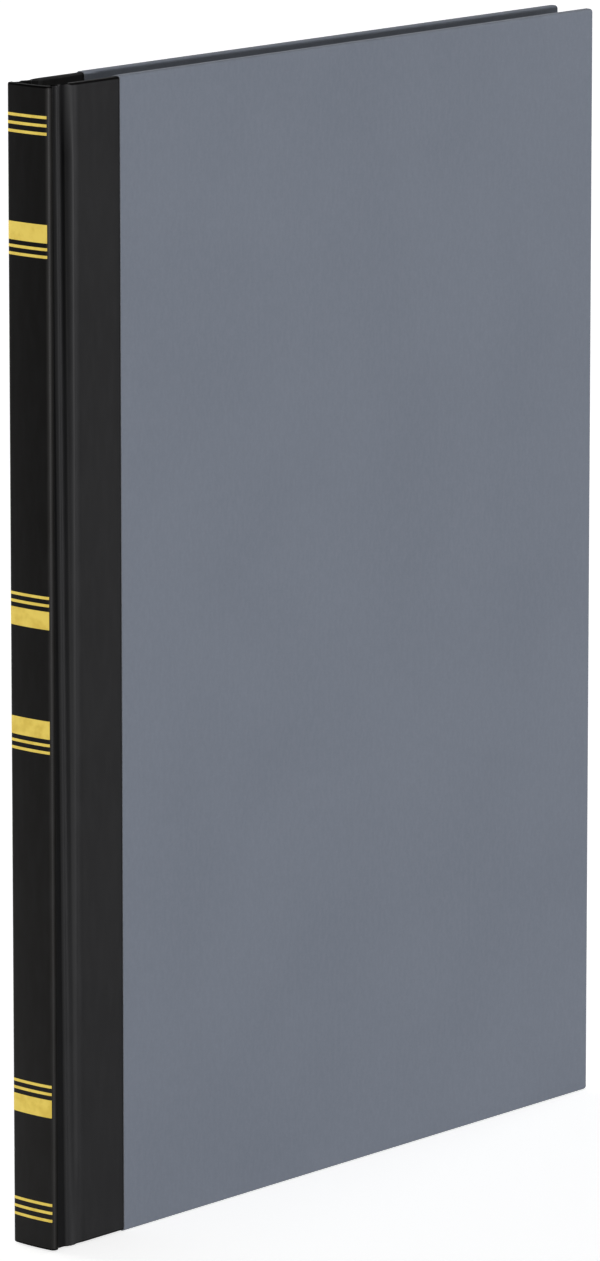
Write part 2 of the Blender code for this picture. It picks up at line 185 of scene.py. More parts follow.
# The camera, as the photograph was taken from
IMAGE_HEIGHT = 1261
FOCAL_PIXELS = 7602
PRINCIPAL_ROW = 315.25
SENSOR = 36.0
CAMERA_FROM_SPINE = Vector((-1.1979, -1.1342, 0.4775))
CAMERA_YAW = 41.35
CAMERA_PITCH = -9.16

# Light: the three keys stand side by side and make one low strip
WORLD_LIGHT = 0.26
LAMPS = {
    "front_key_left": {"strength": 0.82, "angle": 3.0, "turn": (88.4, 0.0, -24.0)},
    "front_key": {"strength": 0.82, "angle": 3.0, "turn": (88.4, 0.0, -21.0)},
    "front_key_right": {"strength": 0.82, "angle": 3.0, "turn": (88.4, 0.0, -18.0)},
    "back_fill": {"strength": 2.2, "angle": 50.0, "turn": (78.0, 0.0, 176.0)},
    "fore_edge_fill": {"strength": 1.1, "angle": 30.0, "turn": (76.0, 0.0, 92.0)},
}
FLOOR_BOUNCE = 0.7
FLOOR_GLOW = 0.74
FLOOR_SIZE = 30.0
WHITE = (1.0, 1.0, 1.0, 1.0)

# Sockets of a Mix node that mixes colours: its number and vector sockets come before them
MIX_SHARE, MIX_FIRST, MIX_SECOND, MIX_RESULT = 0, 6, 7, 2
EVEN = (1.0, 1.0, 1.0)


def linear(red, green, blue):
    """An sRGB colour, 0 to 255, as a linear colour for a shader."""
    levels = [c / 255 for c in (red, green, blue)]
    return (*[((c + 0.055) / 1.055) ** 2.4 if c > 0.04 else c / 12.92 for c in levels], 1.0)


# Colours of the outside and of the leaves
SLATE_DARK = linear(105, 111, 122)
SLATE_PALE = linear(108, 114, 125)
SLATE_FIBRE = linear(130, 135, 145)
SLATE_GRAIN = linear(98, 103, 113)
SLATE_RUBBED = linear(150, 154, 163)
CORE_DARK = linear(128, 132, 141)
CORE_PALE = linear(150, 153, 160)
SPINE_CLOTH_DARK = linear(28, 27, 26)
SPINE_CLOTH_PALE = linear(31, 30, 29)
BOARD_CLOTH_DARK = linear(31, 31, 32)
BOARD_CLOTH_PALE = linear(34, 34, 35)
CLOTH_SLUB = linear(46, 46, 47)
CLOTH_SHADE = linear(22, 22, 23)
GOLD = linear(214, 190, 92)
GOLD_RUBBED = linear(200, 174, 78)
LEDGER_PALE = linear(240, 237, 226)
LEDGER_DARK = linear(234, 230, 216)
FEINT_BLUE = linear(142, 170, 200)
COLUMN_RED = linear(196, 108, 104)


class Finish:
    """A Principled material and the few node steps that the finishes here need."""

    def __init__(self, name):
        self.material = bpy.data.materials.new(name)
        self.material.use_nodes = True
        self.tree = self.material.node_tree
        self.shader = self.tree.nodes["Principled BSDF"]
        self.place = self.tree.nodes.new("ShaderNodeTexCoord")

    def put(self, socket, value):
        """Link another node's output to a socket, or set a plain value on it."""
        if isinstance(value, bpy.types.NodeSocket):
            self.tree.links.new(value, socket)
        else:
            socket.default_value = value

    def math(self, operation, first, second=0.0):
        step = self.tree.nodes.new("ShaderNodeMath")
        step.operation = operation
        self.put(step.inputs[0], first)
        self.put(step.inputs[1], second)
        return step.outputs[0]

    def product(self, first, *others):
        for other in others:
            first = self.math('MULTIPLY', first, other)
        return first

    def between(self, value, low, high):
        """1 where a value lies between two others, and 0 elsewhere."""
        above = self.math('GREATER_THAN', value, low)
        return self.product(above, self.math('LESS_THAN', value, high))

    def lines(self, value, places, half_width):
        """1 on thin lines at some places along an axis, and 0 elsewhere."""
        drawn = 0.0
        for place in places:
            off = self.math('ABSOLUTE', self.math('SUBTRACT', value, place))
            drawn = self.math('MAXIMUM', self.math('LESS_THAN', off, half_width), drawn)
        return drawn

    def axes(self):
        """X, Y and Z on the piece, in metres."""
        split = self.tree.nodes.new("ShaderNodeSeparateXYZ")
        self.put(split.inputs[0], self.place.outputs["Object"])
        return split.outputs

    def attribute(self, name):
        step = self.tree.nodes.new("ShaderNodeAttribute")
        step.attribute_name = name
        return step.outputs["Fac"]

    def span(self, value, low, high, to_low, to_high):
        """Take low to high smoothly over to another pair of values, and hold beyond them."""
        step = self.tree.nodes.new("ShaderNodeMapRange")
        step.interpolation_type = 'SMOOTHSTEP'
        ends = {"From Min": low, "From Max": high, "To Min": to_low, "To Max": to_high}
        for name, number in ends.items():
            step.inputs[name].default_value = number
        self.put(step.inputs["Value"], value)
        return step.outputs[0]

    def noise(self, per_metre, detail, stretch=EVEN):
        """Cloudy noise with about that many patches to the metre."""
        mapping = self.tree.nodes.new("ShaderNodeMapping")
        mapping.inputs["Scale"].default_value = stretch
        self.put(mapping.inputs["Vector"], self.place.outputs["Object"])
        cloud = self.tree.nodes.new("ShaderNodeTexNoise")
        cloud.inputs["Scale"].default_value = per_metre
        cloud.inputs["Detail"].default_value = detail
        self.put(cloud.inputs["Vector"], mapping.outputs[0])
        return cloud.outputs["Fac"]

    def patches(self, per_metre, detail, low, high, stretch=EVEN):
        """The same noise with the range from low to high spread out to 0 and 1."""
        return self.span(self.noise(per_metre, detail, stretch), low, high, 0.0, 1.0)

    def weave(self, along, across, pitch):
        """Plain weave: threads over and under each other, as a height from 0 to 1."""
        turn = math.pi / pitch
        warp = self.math('SINE', self.product(along, turn))
        weft = self.math('SINE', self.product(across, turn))
        return self.product(self.math('ADD', self.product(warp, weft), 1.0), 0.5)

    def mix(self, share, first, second):
        step = self.tree.nodes.new("ShaderNodeMix")
        step.data_type = 'RGBA'
        self.put(step.inputs[MIX_SHARE], share)
        self.put(step.inputs[MIX_FIRST], first)
        self.put(step.inputs[MIX_SECOND], second)
        return step.outputs[MIX_RESULT]

    def tinted(self, base, tint, pattern, share):
        """A colour turned towards a tint where a pattern is, by a share at most."""
        return self.mix(self.product(pattern, share), base, tint)

    def toned(self, colour, tone):
        step = self.tree.nodes.new("ShaderNodeVectorMath")
        step.operation = 'SCALE'
        self.put(step.inputs[0], colour)
        self.put(step.inputs["Scale"], tone)
        return step.outputs[0]

    def colour(self, value):
        self.put(self.shader.inputs["Base Color"], value)

    def roughness(self, value):
        self.put(self.shader.inputs["Roughness"], value)

    def specular(self, value):
        self.put(self.shader.inputs["Specular IOR Level"], value)

    def metallic(self, value):
        self.put(self.shader.inputs["Metallic"], value)

    def bump(self, height, distance, strength):
        step = self.tree.nodes.new("ShaderNodeBump")
        step.inputs["Distance"].default_value = distance
        step.inputs["Strength"].default_value = strength
        self.put(step.inputs["Height"], height)
        self.put(self.shader.inputs["Normal"], step.outputs[0])


def slate_paper():
    """Slate cover paper with fine grain and fibres, rubbed a little paler along its outer edges."""
    finish = Finish("slate cover paper")
    cloud = finish.patches(per_metre=26.0, detail=4.0, low=0.3, high=0.7)
    grain = finish.patches(per_metre=1500.0, detail=2.0, low=0.25, high=0.75)
    fibre = finish.patches(per_metre=900.0, detail=3.0, low=0.35, high=0.7,
                           stretch=(1.0, 1.0, 0.4))
    base = finish.mix(cloud, SLATE_DARK, SLATE_PALE)
    fibred = finish.tinted(base, SLATE_FIBRE, fibre, share=0.1)
    grained = finish.tinted(fibred, SLATE_GRAIN, grain, share=0.12)
    x, _, z = finish.axes()
    to_fore = finish.math('SUBTRACT', BOOK_HIGH.x, x)
    to_head = finish.math('SUBTRACT', BOOK_HIGH.z, z)
    to_edge = finish.math('MINIMUM', to_fore, finish.math('MINIMUM', to_head, z))
    rim_width = 0.9 * MM
    rim = finish.span(to_edge, 0.0, rim_width, 1.0, 0.0)
    wear = finish.span(finish.noise(per_metre=160.0, detail=5.0), 0.45, 0.75, 0.04, 0.18)
    finish.colour(finish.mix(finish.product(rim, wear), grained, SLATE_RUBBED))
    finish.roughness(finish.span(grain, 0.0, 1.0, 0.58, 0.68))
    finish.specular(0.16)
    relief = finish.math('ADD', grain, finish.product(fibre, 0.6))
    finish.bump(relief, distance=0.012 * MM, strength=0.6)
    return finish.material


def paper_core():
    """The paler cut edge of the cover paper."""
    finish = Finish("cut edge of cover paper")
    speck = finish.patches(per_metre=2200.0, detail=2.0, low=0.3, high=0.7)
    finish.colour(finish.mix(speck, CORE_DARK, CORE_PALE))
    finish.roughness(0.8)
    finish.specular(0.3)
    return finish.material


def board_tone(finish):
    """Tone of the cloth on a board: painted shade in the groove's hollows and painted highlights on
    its ridge and edges.
    """
    return finish.attribute("tone")


def spine_tone(finish):
    """Tone of the cloth on the spine, all painted light: paler to the tail, painted highlights on
    the beads, painted shade on their flank and round the folds at head and tail.
    """
    x, y, z = finish.axes()
    by_height = finish.span(z, SPINE_LOW.z, SPINE_HIGH.z * SPINE_TONE_REACH,
                            SPINE_TONE_TAIL, SPINE_TONE_HEAD)
    from_middle = finish.math('ABSOLUTE', y)
    bead = finish.span(from_middle, CLOTH_FACE - BEAD_START, CLOTH_FACE - BEAD_FULL, 0.0, 1.0)
    crest = finish.span(z, SPINE_LOW.z, SPINE_HIGH.z, BEAD_TONE_TAIL, BEAD_TONE_HEAD)
    flank = finish.span(x, SHOULDER_X + FLANK_START, SHOULDER_X + FLANK_END, 1.0, BEAD_FLANK_SHARE)
    plain = finish.product(finish.math('SUBTRACT', 1.0, bead), by_height)
    beaded = finish.product(bead, finish.product(crest, flank))
    to_head = finish.math('SUBTRACT', SPINE_HIGH.z, z)
    to_tail = finish.math('SUBTRACT', z, SPINE_LOW.z)
    to_end = finish.math('MINIMUM', to_head, to_tail)
    fold = finish.span(to_end, FOLD_DARK_TO, FOLD_PLAIN_FROM, FOLD_TONE, 1.0)
    return finish.product(finish.math('ADD', plain, beaded), fold)


def black_bookcloth(name, along, across, tone_of, dark, pale):
    """Starched black cloth. along and across name the object axes that the threads follow."""
    finish = Finish(name)
    axes = dict(zip("xyz", finish.axes()))
    tone = tone_of(finish)
    threads = finish.weave(axes[along], axes[across], THREAD_PITCH)
    slub = finish.patches(per_metre=520.0, detail=4.0, low=0.35, high=0.75,
                          stretch=(1.0, 1.0, 0.25))
    haze = finish.patches(per_metre=30.0, detail=3.0, low=0.3, high=0.7)
    base = finish.mix(haze, dark, pale)
    lit = finish.tinted(base, CLOTH_SLUB, slub, share=0.25)
    woven = finish.tinted(lit, CLOTH_SHADE, threads, share=0.3)
    # the tone scales the colour: painted shade in hollows and folds, painted highlights on edges
    # and beads
    finish.colour(finish.toned(woven, tone))
    finish.roughness(finish.span(slub, 0.0, 1.0, 0.4, 0.46))
    # the specular level follows the same painted shade and highlights
    finish.specular(finish.product(tone, CLOTH_SPECULAR))
    finish.bump(finish.math('ADD', threads, slub), distance=0.02 * MM, strength=0.55)
    return finish.material


def gold_foil():
    """Gold foil that shows the cloth's threads and is rubbed duller in patches."""
    finish = Finish("stamped gold foil")
    _, y, z = finish.axes()
    threads = finish.weave(y, z, THREAD_PITCH)
    rub = finish.patches(per_metre=420.0, detail=4.0, low=0.35, high=0.75)
    finish.colour(finish.mix(rub, GOLD, GOLD_RUBBED))
    finish.metallic(1.0)
    finish.roughness(finish.span(rub, 0.0, 1.0, 0.3, 0.42))
    finish.bump(threads, distance=0.008 * MM, strength=0.5)
    return finish.material


def plain_paper(name, pale, dark, roughness):
    """Uncoated paper with a faint cloud in its colour."""
    finish = Finish(name)
    cloud = finish.patches(per_metre=60.0, detail=4.0, low=0.3, high=0.7)
    finish.colour(finish.mix(cloud, pale, dark))
    finish.roughness(roughness)
    finish.specular(0.3)
    finish.bump(finish.noise(per_metre=1800.0, detail=2.0), distance=0.012 * MM, strength=0.5)
    return finish.material


def rough_card(name, pale, dark):
    """Speckled grey or brown card."""
    finish = Finish(name)
    speck = finish.patches(per_metre=900.0, detail=4.0, low=0.3, high=0.7)
    finish.colour(finish.mix(speck, pale, dark))
    finish.roughness(0.9)
    finish.specular(0.2)
    finish.bump(speck, distance=0.03 * MM, strength=0.6)
    return finish.material


def woven_linen(name, pale, dark, pitch):
    """Undyed woven linen, for tapes, mull and thread."""
    finish = Finish(name)
    _, y, z = finish.axes()
    threads = finish.weave(y, z, pitch)
    finish.colour(finish.tinted(dark, pale, threads, share=0.5))
    finish.roughness(0.85)
    finish.specular(0.2)
    finish.bump(threads, distance=0.05 * MM, strength=0.7)
    return finish.material


def ledger_paper():
    """Pale ledger stock with blue feint rows and red money columns."""
    finish = Finish("ruled ledger paper")
    x, _, z = finish.axes()
    cloud = finish.patches(per_metre=55.0, detail=4.0, low=0.3, high=0.7)
    stock = finish.mix(cloud, LEDGER_PALE, LEDGER_DARK)
    rows_top = LEAF_HIGH.z - ROWS_BELOW_HEAD
    in_width = finish.between(x, LEAF_LOW.x + FOLD_MARGIN, LEAF_HIGH.x - FORE_MARGIN)
    in_height = finish.between(z, LEAF_LOW.z + FOOT_MARGIN, LEAF_HIGH.z - HEAD_MARGIN)
    in_rows = finish.between(z, LEAF_LOW.z + FOOT_MARGIN, rows_top + ROW_WIDTH)
    below_top = finish.math('SUBTRACT', rows_top, z)
    row_share = finish.math('FRACT', finish.math('DIVIDE', below_top, ROW_PITCH))
    in_row = finish.product(row_share, ROW_PITCH)
    rows = finish.product(finish.math('LESS_THAN', in_row, ROW_WIDTH), in_rows, in_width)
    column_places = [LEAF_LOW.x + from_fold * MM for from_fold in COLUMNS]
    head_places = [LEAF_HIGH.z - below_head * MM for below_head in HEAD_RULES]
    columns = finish.product(finish.lines(x, column_places, COLUMN_HALF_WIDTH), in_height)
    heads = finish.product(finish.lines(z, head_places, HEAD_RULE_HALF_WIDTH), in_width)
    red = finish.math('MAXIMUM', columns, heads)
    feint = finish.tinted(stock, FEINT_BLUE, rows, share=0.75)
    finish.colour(finish.tinted(feint, COLUMN_RED, red, share=0.8))
    finish.roughness(0.78)
    finish.specular(0.3)
    finish.bump(finish.noise(per_metre=1800.0, detail=2.0), distance=0.01 * MM, strength=0.4)
    return finish.material


def seen_directly(tree):
    """1 for camera, glossy and transmission rays."""
    path = tree.nodes.new("ShaderNodeLightPath")
    seen = path.outputs["Is Camera Ray"]
    for name in ("Is Glossy Ray", "Is Transmission Ray"):
        either = tree.nodes.new("ShaderNodeMath")
        either.operation = 'MAXIMUM'
        tree.links.new(seen, either.inputs[0])
        tree.links.new(path.outputs[name], either.inputs[1])
        seen = either.outputs[0]
    return seen


def studio_floor():
    """Pale and matte, and brought up to white where it is seen, so that only the shadow shows."""
    made = bpy.data.materials.new("studio floor")
    made.use_nodes = True
    tree = made.node_tree
    tree.nodes.remove(tree.nodes["Principled BSDF"])
    matte = tree.nodes.new("ShaderNodeBsdfDiffuse")
    matte.inputs["Color"].default_value = (FLOOR_BOUNCE,) * 3 + (1.0,)
    level = tree.nodes.new("ShaderNodeMath")
    level.operation = 'MULTIPLY'
    level.inputs[1].default_value = FLOOR_GLOW
    tree.links.new(seen_directly(tree), level.inputs[0])
    glow = tree.nodes.new("ShaderNodeEmission")
    tree.links.new(level.outputs[0], glow.inputs["Strength"])
    both = tree.nodes.new("ShaderNodeAddShader")
    tree.links.new(matte.outputs[0], both.inputs[0])
    tree.links.new(glow.outputs[0], both.inputs[1])
    tree.links.new(both.outputs[0], tree.nodes["Material Output"].inputs["Surface"])
    return made


def put_in_order(mesh):
    """List vertices, edges and faces by their places, so that each run lists them alike."""
    for rank, vert in enumerate(sorted(mesh.verts, key=lambda v: v.co[:])):
        vert.index = rank
    mesh.verts.sort()
    for elements in (mesh.edges, mesh.faces):
        ordered = sorted(elements, key=lambda e: sorted(v.index for v in e.verts))
        for rank, element in enumerate(ordered):
            element.index = rank
        elements.sort()


def new_piece(name, mesh, *materials):
    """An object in the scene from a finished bmesh."""
    put_in_order(mesh)
    data = bpy.data.meshes.new(name)
    mesh.to_mesh(data)
    mesh.free()
    for material in materials:
        data.materials.append(material)
    piece = bpy.data.objects.new(name, data)
    bpy.context.scene.collection.objects.link(piece)
    return piece


def thicken(piece, thickness, rim_material=0):
    """Give a sheet its thickness on the inner side, as real geometry."""
    shell = piece.modifiers.new("sheet thickness", 'SOLIDIFY')
    shell.thickness = thickness
    shell.offset = -1.0
    shell.material_offset_rim = rim_material
    graph = bpy.context.evaluated_depsgraph_get()
    solid = bpy.data.meshes.new_from_object(piece.evaluated_get(graph))
    piece.modifiers.remove(shell)
    piece.data = solid


def smooth(piece):
    """Smooth shading that keeps flat faces flat and sharp edges sharp."""
    piece.data.shade_smooth()
    piece.data.set_sharp_from_angle(angle=math.radians(SHARP_ANGLE))
    weighted = piece.modifiers.new("flat faces first", 'WEIGHTED_NORMAL')
    weighted.keep_sharp = True


def vertices(geometry):
    """The vertices among what an operator returns."""
    return [item for item in geometry if isinstance(item, bmesh.types.BMVert)]


def bow_x(inset, y):
    """X of the bowed spine at a distance from its middle, for a layer that far inside."""
    return SPINE_APEX + BOW_RADIUS - math.sqrt((BOW_RADIUS - inset) ** 2 - y ** 2)


def spine_face(lift, y):
    """X a little outside the spine's cloth: the bow in the middle and the bead at the sides."""
    bead_y = CLOTH_FACE - OUTER_BEAD_RADIUS
    over = abs(y) - bead_y
    if over <= 0:
        return bow_x(-lift, y)
    radius = OUTER_BEAD_RADIUS + lift
    return bow_x(0.0, bead_y) + OUTER_BEAD_RADIUS - math.sqrt(radius ** 2 - over ** 2)


def arc(centre_x, centre_y, radius, start, end):
    """Points round part of a bead, from one angle to another."""
    angles = [math.radians(start + (end - start) * i / BEAD_STEPS) for i in range(BEAD_STEPS + 1)]
    return [(centre_x + radius * math.cos(a), centre_y + radius * math.sin(a)) for a in angles]


def spine_outline():
    """The bowed back with a rounded bead along each side, counted round from the back bead."""
    inner_x = SHOULDER_X + SPINE_EDGE_THICKNESS
    inner_y = CLOTH_FACE - INNER_BEAD_RADIUS
    bead_y = CLOTH_FACE - OUTER_BEAD_RADIUS
    bead_x = bow_x(0.0, bead_y) + OUTER_BEAD_RADIUS
    ys = [bead_y * (1 - 2 * i / BOW_STEPS) for i in range(BOW_STEPS + 1)]
    back = [(bow_x(0.0, y), y) for y in ys]
    front = arc(bead_x, -bead_y, OUTER_BEAD_RADIUS, 180, 270)[1:]
    front += arc(inner_x - INNER_BEAD_RADIUS, -inner_y, INNER_BEAD_RADIUS, 270, 360)
    mirrored = [(x, -y) for x, y in reversed(front)]
    inside = [(bow_x(SPINE_EDGE_THICKNESS, y), y) for y in reversed(ys)]
    return back + front + inside[1:-1] + mirrored


def spine_cloth(finish):
    """The cloth round the spine card: bowed, beaded along its sides, rounded at head and tail."""
    mesh = bmesh.new()
    ring = [mesh.verts.new((x, y, SPINE_LOW.z)) for x, y in spine_outline()]
    base = mesh.faces.new(ring)
    raised = bmesh.ops.extrude_face_region(mesh, geom=[base])["geom"]
    bmesh.ops.translate(mesh, verts=vertices(raised), vec=(0, 0, SPINE_HIGH.z - SPINE_LOW.z))
    bmesh.ops.recalc_face_normals(mesh, faces=mesh.faces)
    ends = [e for f in mesh.faces if abs(f.normal.z) > FACING for e in f.edges]
    bmesh.ops.bevel(mesh, geom=ends, offset=SPINE_END_ROUNDING, segments=SPINE_END_SEGMENTS,
                    profile=0.5, affect='EDGES', material=-1)
    piece = new_piece("quarter_cloth_spine", mesh, finish)
    smooth(piece)
    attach(piece, "spine")
    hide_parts("spine_cloth")


def groove_stops(height_share):
    """Where the groove turns at one height, as distances from the shoulder, depths and tones."""
    stops = []
    for at_head, change in GROOVE:
        moves = zip(at_head, change)
        stops.append([value + by_tail * (1 - height_share) for value, by_tail in moves])
    near_end = max(1 - min(height_share, 1 - height_share) / END_REACH, 0.0)
    valley = GROOVE.index(VALLEY)
    added = zip(stops[valley], VALLEY_AT_ENDS)
    stops[valley] = [value + more * near_end for value, more in added]
    return [(x * MM, depth * MM, tone) for x, depth, tone in stops]


def groove(x, height_share):
    """Depth of the cloth below its face on the board, and its tone, that far from the shoulder."""
    stops = groove_stops(height_share)
    for (x0, depth0, tone0), (x1, depth1, tone1) in zip(stops, stops[1:]):
        if x <= x1:
            eased = (1 - math.cos(math.pi * max(x - x0, 0.0) / (x1 - x0))) / 2
            return depth0 + (depth1 - depth0) * eased, tone0 + (tone1 - tone0) * eased
    return 0.0, 1.0


def cloth_columns(height_share):
    """Distances from the shoulder at which the cloth is shaped, close together in the groove."""
    stops = [x for x, depth, tone in groove_stops(height_share)]
    columns = [stops[0]]
    for low, high in zip(stops, stops[1:]):
        columns += [low + (high - low) * (i + 1) / GROOVE_STEPS for i in range(GROOVE_STEPS)]
    reach = CLOTH_HIGH.x - SHOULDER_X
    return columns + [(stops[-1] + reach) / 2, reach]


def wrap_depth(x, depth):
    """From the outer face of the cloth to the face of its turn-in, that far from the shoulder."""
    past_start = x - (BOARD_START - SHOULDER_X) + PARTING_LEAD
    share = min(max(past_start / PARTING_LENGTH, 0.0), 1.0)
    return DOUBLED_CLOTH + (BOARD_THICKNESS - depth - DOUBLED_CLOTH) * share


def fold_stations():
    """The way round from the tail's turn-in, over the outer face, to the head's turn-in.

    Each station is (end, kind, share). One on the outer face has no end, and its share is that of
    the cloth's height.
    """
    quarter = [i / FOLD_STEPS for i in range(FOLD_STEPS + 1)]
    fold = [("outer", q) for q in quarter] + [("inner", q) for q in quarter]
    fold += [("turn_in", (i + 1) / END_ROWS) for i in range(END_ROWS)]
    near = [END_REACH * (i + 1) / END_ROWS for i in range(END_ROWS)]
    evenly = [END_REACH + (1 - 2 * END_REACH) * i / RUN_ROWS for i in range(1, RUN_ROWS)]
    run = near + evenly + [1 - share for share in reversed(near)]
    stations = [(TAIL, kind, share) for kind, share in reversed(fold)]
    stations += [(None, "run", share) for share in run]
    return stations + [(HEAD, kind, share) for kind, share in fold]


def folded_point(side, column, station):
    """Place and tone of a point of the cloth: on its outer face, round the edge or inside."""
    end, kind, share = station
    height = CLOTH_HIGH.z - CLOTH_LOW.z
    height_share = share if kind == "run" else end
    if kind == "turn_in":
        height_share = abs(end - TURN_IN * share / height)
    x = cloth_columns(height_share)[column]
    depth, tone = groove(x, height_share)
    thickness = wrap_depth(x, depth)
    radius = min(CLOTH_EDGE_RADIUS, thickness / 2)
    angle = share * math.pi / 2
    inset, drop, folded = 0.0, 0.0, 0.0
    if kind == "outer":
        inset, drop = radius * (1 - math.cos(angle)), radius * (1 - math.sin(angle))
        folded = min(share / FOLD_DARK_FROM, 1.0)
    elif kind == "inner":
        inset, drop = thickness - radius + radius * math.sin(angle), radius * (1 - math.cos(angle))
        folded = 1 - share
    elif kind == "turn_in":
        inset, drop = thickness, CLOTH_EDGE_RADIUS + (TURN_IN - CLOTH_EDGE_RADIUS) * share
    if kind == "run":
        z = CLOTH_LOW.z + height * share
    else:
        z = CLOTH_HIGH.z - drop if end == HEAD else CLOTH_LOW.z + drop
    # painted shade: the cloth darkens round its folds at head and tail
    tone *= 1 - (1 - FOLD_TONE) * folded
    return Vector((SHOULDER_X + x, side * (CLOTH_FACE - depth - inset), z)), tone


def board_cloth(label, finish):
    """The cloth from the spine's bead through the groove onto the board, turned in at both ends."""
    side = SIDES[label]
    last_column = len(cloth_columns(1.0)) - 1
    stations = fold_stations()
    last_row = len(stations) - 1
    mesh = bmesh.new()
    # tone: painted shade in the groove's hollows and folds, painted highlights on its ridge and
    # edges
    tones = mesh.verts.layers.float.new("tone")
    bmesh.ops.create_grid(mesh, x_segments=last_column, y_segments=last_row, size=0.5)
    for vert in mesh.verts:
        column = round((vert.co.x + 0.5) * last_column)
        row = round((vert.co.y + 0.5) * last_row)
        vert.co, vert[tones] = folded_point(side, column, stations[row])
    bmesh.ops.remove_doubles(mesh, verts=mesh.verts, dist=MERGE_DISTANCE)
    mesh.normal_update()
    outside = Vector((CLOTH_HIGH.x, side, BOOK_HIGH.z / 2))
    outer = min(mesh.faces, key=lambda f: (f.calc_center_median() - outside).length)
    if outer.normal.y * side < 0:
        bmesh.ops.reverse_faces(mesh, faces=mesh.faces)
    piece = new_piece(f"quarter_cloth_{label}", mesh, finish)
    thicken(piece, CLOTH_THICKNESS)
    smooth(piece)
    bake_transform(piece)
    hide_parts(f"{label}_cloth")


def cut_faces(mesh, faces, point, normal):
    """Cut some faces of a mesh with a plane."""
    geometry = set(faces)
    for face in faces:
        geometry.update(face.edges)
        geometry.update(face.verts)
    bmesh.ops.bisect_plane(mesh, geom=list(geometry), plane_co=point, plane_no=normal)


def paper_side(label, finish, core):
    """One slate sheet over the board's face, turned in at head, tail and fore-edge."""
    side = SIDES[label]
    low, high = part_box(f"{label}_siding")
    spare = 4 * EDGE_RADIUS
    start = Vector((low.x - spare, low.y, low.z))
    mesh = bmesh.new()
    bmesh.ops.create_cube(mesh, size=1.0)
    bmesh.ops.scale(mesh, verts=mesh.verts, vec=high - start)
    bmesh.ops.translate(mesh, verts=mesh.verts, vec=(start + high) / 2)
    bmesh.ops.bevel(mesh, geom=mesh.edges[:], offset=EDGE_RADIUS, segments=EDGE_SEGMENTS,
                    profile=0.5, affect='EDGES', material=-1)
    everything = mesh.verts[:] + mesh.edges[:] + mesh.faces[:]
    bmesh.ops.bisect_plane(mesh, geom=everything, plane_co=low, plane_no=(1, 0, 0),
                           clear_inner=True)
    fore, foot, top = high.x - TURN_IN, low.z + TURN_IN, high.z - TURN_IN
    window = ((Vector((fore, 0, 0)), Vector((1, 0, 0))),
              (Vector((0, 0, foot)), Vector((0, 0, 1))),
              (Vector((0, 0, top)), Vector((0, 0, 1))))
    for point, normal in window:
        inside = [f for f in mesh.faces if f.normal.y * side < -FACING]
        cut_faces(mesh, inside, point, normal)
    opened = []
    for face in mesh.faces:
        middle = face.calc_center_median()
        if face.normal.y * side < -FACING and middle.x < fore and foot < middle.z < top:
            opened.append(face)
    bmesh.ops.delete(mesh, geom=opened, context='FACES')
    piece = new_piece(f"paper_side_{label}", mesh, finish, core)
    thicken(piece, PAPER_THICKNESS, rim_material=1)
    smooth(piece)
    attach(piece, f"{label}_cover")
    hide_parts(f"{label}_siding")


def foil_line(node, finish):
    """One stamped line that lies on the bowed spine."""
    low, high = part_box(node)
    mesh = bmesh.new()
    bmesh.ops.create_grid(mesh, x_segments=BOW_STEPS, y_segments=1, size=0.5)
    for vert in mesh.verts:
        y = low.y + (high.y - low.y) * (vert.co.x + 0.5)
        z = low.z + (high.z - low.z) * (vert.co.y + 0.5)
        vert.co = (spine_face(FOIL_LIFT + FOIL_THICKNESS, y), y, z)
    bmesh.ops.recalc_face_normals(mesh, faces=mesh.faces)
    if sum(f.normal.x for f in mesh.faces) > 0:
        bmesh.ops.reverse_faces(mesh, faces=mesh.faces)
    piece = new_piece(f"stamped_{node}", mesh, finish)
    thicken(piece, FOIL_THICKNESS)
    smooth(piece)
    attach(piece, "spine")
    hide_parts(node)


def folded_sheet(mesh, fold, outer, thickness, ends, heights):
    """One sheet folded in two: a leaf, the fold and the second leaf."""
    low, high = heights
    first, second = ends
    near, far = fold.y - outer, fold.y - outer + thickness
    corners = ((near, low), (far, low), (far, high), (near, high))
    face = mesh.faces.new([mesh.verts.new((first, y, z)) for y, z in corners])
    grown = bmesh.ops.extrude_face_region(mesh, geom=[face])["geom"]
    bmesh.ops.translate(mesh, verts=vertices(grown), vec=(fold.x - first, 0, 0))
    spun = bmesh.ops.spin(mesh, geom=grown, cent=(fold.x, fold.y, 0), axis=(0, 0, 1),
                          dvec=(0, 0, 0), angle=-math.pi, steps=LEAF_FOLD_STEPS,
                          use_duplicate=False)
    grown = bmesh.ops.extrude_face_region(mesh, geom=spun["geom_last"])["geom"]
    bmesh.ops.translate(mesh, verts=vertices(grown), vec=(second - fold.x, 0, 0))


def section_leaves(node, finish, draw):
    """A sewn section as its folded sheets, one inside another."""
    low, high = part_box(node)
    half = (high.y - low.y) / 2
    fold = Vector((low.x + half, (low.y + high.y) / 2, 0))
    sheets = LEAVES_IN_SECTION // 2
    pitch = half / sheets
    mesh = bmesh.new()
    for i in range(sheets):
        ends = [high.x - draw.uniform(0.0, FORE_EDGE_JITTER) for leaf in range(2)]
        trim = draw.uniform(0.0, FORE_EDGE_JITTER / 2)
        heights = (low.z + trim, high.z - trim)
        folded_sheet(mesh, fold, (i + 1) * pitch, pitch * LEAF_FILL, ends, heights)
    bmesh.ops.recalc_face_normals(mesh, faces=mesh.faces)
    piece = new_piece(f"leaves_{node}", mesh, finish)
    smooth(piece)
    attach(piece, node)
    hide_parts(node)


def dress_kept_nodes(finishes):
    """Finishes for the solids that stay: boards, spine card, endpapers, tapes and linings."""
    slots = {row["node"]: row["material_slot"] for row in frame["record"]["subparts"]}
    for name, solid in frame["nodes"].items():
        if solid.hide_render or slots[name] not in finishes:
            continue
        solid.data.materials.clear()
        solid.data.materials.append(finishes[slots[name]])


